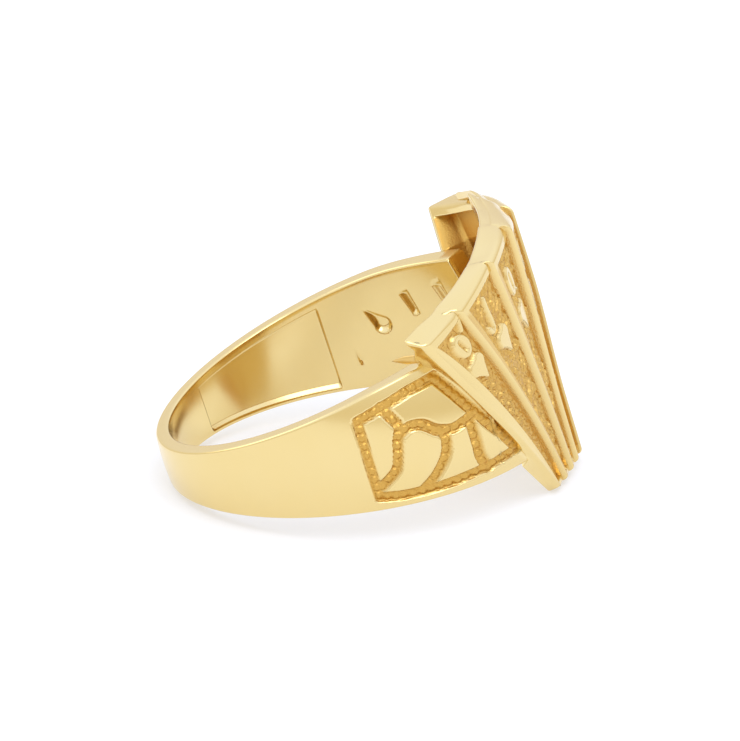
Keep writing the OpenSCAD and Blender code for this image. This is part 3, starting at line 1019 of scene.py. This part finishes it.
    # The side wall of the first and the last card leans in to the band, and carries the back surface
    # with it
    if first or last:
        edge = left if first else right
        edge_r = back_radius(k, edge)
        edge_z = height_at(edge, edge_r)
        edge_x = fan_x(edge, edge_z, edge_r)
        table = np.array((NEAR_WALL if first else FAR_WALL)[::-1])
        face_z = mix(top_z(edge[0, 0]), FOOT_Z, v)
        target = np.stack([np.interp(face_z, table[:, 0], table[:, c]) for c in (1, 2, 3)], axis=-1)
        shift = target - np.stack([edge_x, edge, edge_z], axis=-1)
        away = np.abs(y - edge)
        plain = thick * deep + deep_mm
        share = np.clip((np.maximum(depth, plain) - EDGE_ROUND) / (thick - EDGE_ROUND), 0, 1)
        share = np.where(is_back, np.clip((depth - EDGE_ROUND) / (thick - EDGE_ROUND), 0, 1), share)
        weight = np.where(front, 0, share * (1 - smooth(away / WALL_FADE)))
        points = points + weight[..., None] * shift

    rows, columns = y.shape
    loop = np.arange(columns)
    front_chain, back_chain = loop[:front_count], loop[front_count:][::-1]
    caps = []
    for row, turned in ((0, False), (rows - 1, True)):
        base = row * columns
        cap = zip_cap(base + front_chain, base + back_chain, y[row, front_chain], y[row, back_chain])
        caps.append(cap[:, ::-1] if turned else cap)
    faces = quads(rows, columns, False)[:, ::-1]
    return new_object("card_" + rank, points.reshape(-1, 3), faces, material, field.ravel(), caps)


# A small spur behind the near side wall: its tip, its root, its half width and half height, the share
# of them at the tip, the share of its length where they are full, and how evenly they grow. Then the
# attribute, which darkens it as painted shade behind the wall, and the number of its rings and of the
# points on each.
SPUR_TIP = (4.35, -9.0, 4.45)
SPUR_ROOT = (6.0, -9.9, 4.45)
SPUR_HALF = (0.12, 0.26)
SPUR_TIP_SHARE = 0.04
SPUR_FULL_FROM = 0.5
SPUR_POWER = 0.8
SPUR_SHADE = 0.6
SPUR_RINGS, SPUR_SIDES = 14, 18


def make_spur(material):
    """The spur: a closed tube of oval rings round the line from tip to root, whose size grows quickly
    from nearly nothing at the tip."""
    tip, root = np.array(SPUR_TIP), np.array(SPUR_ROOT)
    along = np.linspace(0, 1, SPUR_RINGS)[:, None, None]
    turn = np.linspace(0, 2 * math.pi, SPUR_SIDES, endpoint=False)[None, :, None]
    size = mix(SPUR_TIP_SHARE, 1, np.minimum(along / SPUR_FULL_FROM, 1) ** SPUR_POWER)
    way = (root - tip) / np.linalg.norm(root - tip)
    across = np.array([-way[1], way[0], 0])
    up = np.array([0, 0, 1.0])
    oval = SPUR_HALF[0] * np.cos(turn) * across + SPUR_HALF[1] * np.sin(turn) * up
    points = (tip + (root - tip) * along + size * oval).reshape(-1, 3)
    loop = np.arange(SPUR_SIDES)
    caps = [loop[None, ::-1], (len(points) - SPUR_SIDES + loop)[None, :]]
    faces = quads(SPUR_RINGS, SPUR_SIDES, False)
    # The whole spur takes SPUR_SHADE: painted shade, with rougher metal
    return new_object("spur", points, faces, material, np.full(len(points), SPUR_SHADE), caps)


def wire(tree, links):
    """Joins nodes of a tree: a link is a node and its output, then a node and its input."""
    for source, output, target, slot in links:
        tree.links.new(source.outputs[output], target.inputs[slot])


def fill(node, values):
    """Puts plain values into a node's inputs."""
    for slot, value in values.items():
        node.inputs[slot].default_value = value
    return node


def worn_metal_group():
    """A node group for cast metal: from Object coordinates it gives a slow change of tone, a roughness
    that varies with fine polishing marks, and a height of fine grain."""
    group = bpy.data.node_groups.new("worn_metal", "ShaderNodeTree")
    face = group.interface
    for name, value in (("Roughness", 0.15), ("Spread", 0.05), ("Grain Size", 0.0002)):
        face.new_socket(name, in_out="INPUT", socket_type="NodeSocketFloat").default_value = value
    for name in ("Tone", "Roughness", "Height"):
        face.new_socket(name, in_out="OUTPUT", socket_type="NodeSocketFloat")
    new = group.nodes.new
    given, out = new("NodeGroupInput"), new("NodeGroupOutput")
    place = new("ShaderNodeTexCoord")
    slow = fill(new("ShaderNodeTexNoise"), {"Scale": 260, "Detail": 2})
    fine = fill(new("ShaderNodeTexNoise"), {"Detail": 3})
    inverse = fill(new("ShaderNodeMath"), {0: 1})
    inverse.operation = "DIVIDE"
    marks = new("ShaderNodeMapRange")
    fill(marks, {"From Min": 0.3, "From Max": 0.7, "To Min": -0.5, "To Max": 0.5})
    rough = new("ShaderNodeMath")
    rough.operation = "MULTIPLY_ADD"
    wire(group, [
        (place, "Object", slow, "Vector"),
        (place, "Object", fine, "Vector"),
        (given, "Grain Size", inverse, 1),
        (inverse, 0, fine, "Scale"),
        (slow, "Fac", marks, "Value"),
        (marks, "Result", rough, 0),
        (given, "Spread", rough, 1),
        (given, "Roughness", rough, 2),
        (slow, "Fac", out, "Tone"),
        (rough, 0, out, "Roughness"),
        (fine, "Fac", out, "Height"),
    ])
    return group


# The gold, polished and rough in the ground of the carving: its colours in linear light, the rough
# ground's colour deepened as painted shade, and the size of its grain and the spread of its roughness
POLISHED = (0.83, 0.655, 0.31, 1)
POLISHED_WARM = (0.82, 0.63, 0.265, 1)
GROUND_AND_SHADE = (0.67, 0.395, 0.09, 1)
POLISHED_FINISH = {"Spread": 0.06, "Grain Size": 0.0006}
GROUND_FINISH = {"Spread": 0.12, "Grain Size": 0.00009}
POLISHED_GRAIN = 0.04
BUMP = {"Strength": 0.6, "Distance": 0.00004}


def gold_material(name, group, polish, ground_rough):
    """Cast gold: polished where the attribute "field" is 0, and rough where it is 1, with a deeper
    colour there that is painted shade."""
    material = bpy.data.materials.new(name)
    material.use_nodes = True
    tree = material.node_tree
    tree.nodes.clear()
    new = tree.nodes.new
    shader, out = new("ShaderNodeBsdfPrincipled"), new("ShaderNodeOutputMaterial")
    fill(shader, {"Metallic": 1})
    worn, cast = new("ShaderNodeGroup"), new("ShaderNodeGroup")
    finishes = ((worn, polish, POLISHED_FINISH), (cast, ground_rough, GROUND_FINISH))
    for node, roughness, finish in finishes:
        node.node_tree = group
        fill(node, {"Roughness": roughness, **finish})
    field = new("ShaderNodeAttribute")
    field.attribute_name = "field"
    tone, colour = new("ShaderNodeMix"), new("ShaderNodeMix")
    tone.data_type = colour.data_type = "RGBA"
    fill(tone, {"A": POLISHED, "B": POLISHED_WARM})
    # The deeper colour mixed in where the attribute is 1 is painted shade
    fill(colour, {"B": GROUND_AND_SHADE})
    rough, height = new("ShaderNodeMix"), new("ShaderNodeMix")
    soften = fill(new("ShaderNodeMath"), {1: POLISHED_GRAIN})
    soften.operation = "MULTIPLY"
    bump = fill(new("ShaderNodeBump"), BUMP)
    wire(tree, [
        (worn, "Tone", tone, "Factor"),
        (tone, "Result", colour, "A"),
        (field, "Fac", colour, "Factor"),
        (field, "Fac", rough, "Factor"),
        (field, "Fac", height, "Factor"),
        (worn, "Roughness", rough, "A"),
        (cast, "Roughness", rough, "B"),
        (worn, "Height", soften, 0),
        (soften, 0, height, "A"),
        (cast, "Height", height, "B"),
        (height, "Result", bump, "Height"),
        (colour, "Result", shader, "Base Color"),
        (rough, "Result", shader, "Roughness"),
        (bump, "Normal", shader, "Normal"),
        (shader, "BSDF", out, "Surface"),
    ])
    return material


def plain_floor():
    """A wide pale floor: a dull white sheet that also glows a little, so that it stays pale round the
    ring."""
    mesh = bpy.data.meshes.new("floor")
    half = 3.0
    corners = [(-half, -half, 0), (half, -half, 0), (half, half, 0), (-half, half, 0)]
    mesh.from_pydata(corners, [], [(0, 1, 2, 3)])
    material = bpy.data.materials.new("floor_white")
    material.use_nodes = True
    fill(material.node_tree.nodes["Principled BSDF"], {
        "Base Color": (0.52, 0.52, 0.52, 1),
        "Emission Color": (1, 1, 1, 1),
        "Emission Strength": 0.45,
        "Roughness": 0.9,
        "Specular IOR Level": 0,
    })
    mesh.materials.append(material)
    floor = bpy.data.objects.new("floor", mesh)
    bpy.context.scene.collection.objects.link(floor)


def white_world():
    """A white studio round the ring: cool and bright above, warmer and a little darker low down, so
    that the polished metal shows soft gradients."""
    world = bpy.data.worlds.new("studio")
    bpy.context.scene.world = world
    world.use_nodes = True
    tree = world.node_tree
    tree.nodes.clear()
    new = tree.nodes.new
    out, light = new("ShaderNodeOutputWorld"), new("ShaderNodeBackground")
    place, split = new("ShaderNodeTexCoord"), new("ShaderNodeSeparateXYZ")
    tones = new("ShaderNodeValToRGB")
    low, high = tones.color_ramp.elements
    low.position, low.color = 0.05, (0.88, 0.82, 0.7, 1)
    high.position, high.color = 0.6, (1.12, 1.2, 1.45, 1)
    fill(light, {"Strength": 1.0})
    wire(tree, [
        (place, "Generated", split, "Vector"),
        (split, "Z", tones, "Fac"),
        (tones, "Color", light, "Color"),
        (light, "Background", out, "Surface"),
    ])


def soft_light(name, place, target, size, power):
    """A square soft box at a place, facing a target, in metres and watts."""
    lamp = bpy.data.lights.new(name, "AREA")
    lamp.shape = "SQUARE"
    lamp.size = size
    lamp.energy = power
    box = bpy.data.objects.new(name, lamp)
    bpy.context.scene.collection.objects.link(box)
    towards = Vector(target) - Vector(place)
    box.location = place
    box.rotation_euler = towards.to_track_quat("-Z", "Y").to_euler()


# The camera, from the photograph: its right and up in the ring's frame, the image's middle along those
# two, the width that it takes in, and a long lens
VIEW_RIGHT = (0.9541, 0.0151, -0.2991)
VIEW_UP = (0.2769, 0.3357, 0.9003)
VIEW_MIDDLE = (1.448, 1.685)
VIEW_WIDTH = 41.71
LENS = 1400
SENSOR = 36


def photo_camera():
    """The camera at the photograph's angle, far enough away for the long lens to frame the ring as it
    does."""
    right, up = np.array(VIEW_RIGHT), np.array(VIEW_UP)
    right /= np.linalg.norm(right)
    up -= up.dot(right) * right
    up /= np.linalg.norm(up)
    back = np.cross(right, up)
    middle = VIEW_MIDDLE[0] * right + VIEW_MIDDLE[1] * up
    origin = lay_down(np.zeros(3))
    axes = [(lay_down(axis) - origin) / MM for axis in (right, up, back)]
    place = lay_down(middle + back * VIEW_WIDTH * LENS / SENSOR)
    data = bpy.data.cameras.new("camera")
    data.lens = LENS
    data.sensor_width = SENSOR
    data.sensor_fit = "HORIZONTAL"
    data.clip_start = 0.01
    data.clip_end = 20
    camera = bpy.data.objects.new("camera", data)
    turn = Matrix([[axes[c][r] for c in range(3)] for r in range(3)]).to_4x4()
    camera.matrix_world = Matrix.Translation(place) @ turn
    bpy.context.scene.collection.objects.link(camera)
    bpy.context.scene.camera = camera


photo_camera()
plain_floor()
white_world()
soft_light("key", (0.1, -0.25, 0.45), (0, 0, 0), 0.3, 0.6)
soft_light("fill", (-0.4, 0.1, 0.3), (0, 0, 0), 0.3, 0.25)

metal_group = worn_metal_group()
polished_gold = gold_material("polished_gold", metal_group, 0.17, 0.34)
pieces = [make_band(polished_gold)]
pieces += [make_card(k, polished_gold) for k in range(len(CARDS))]
pieces.append(make_spur(polished_gold))
for piece in pieces:
    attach(piece, "root")
    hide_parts("ring")
bpy.context.scene.view_settings.view_transform = "Standard"
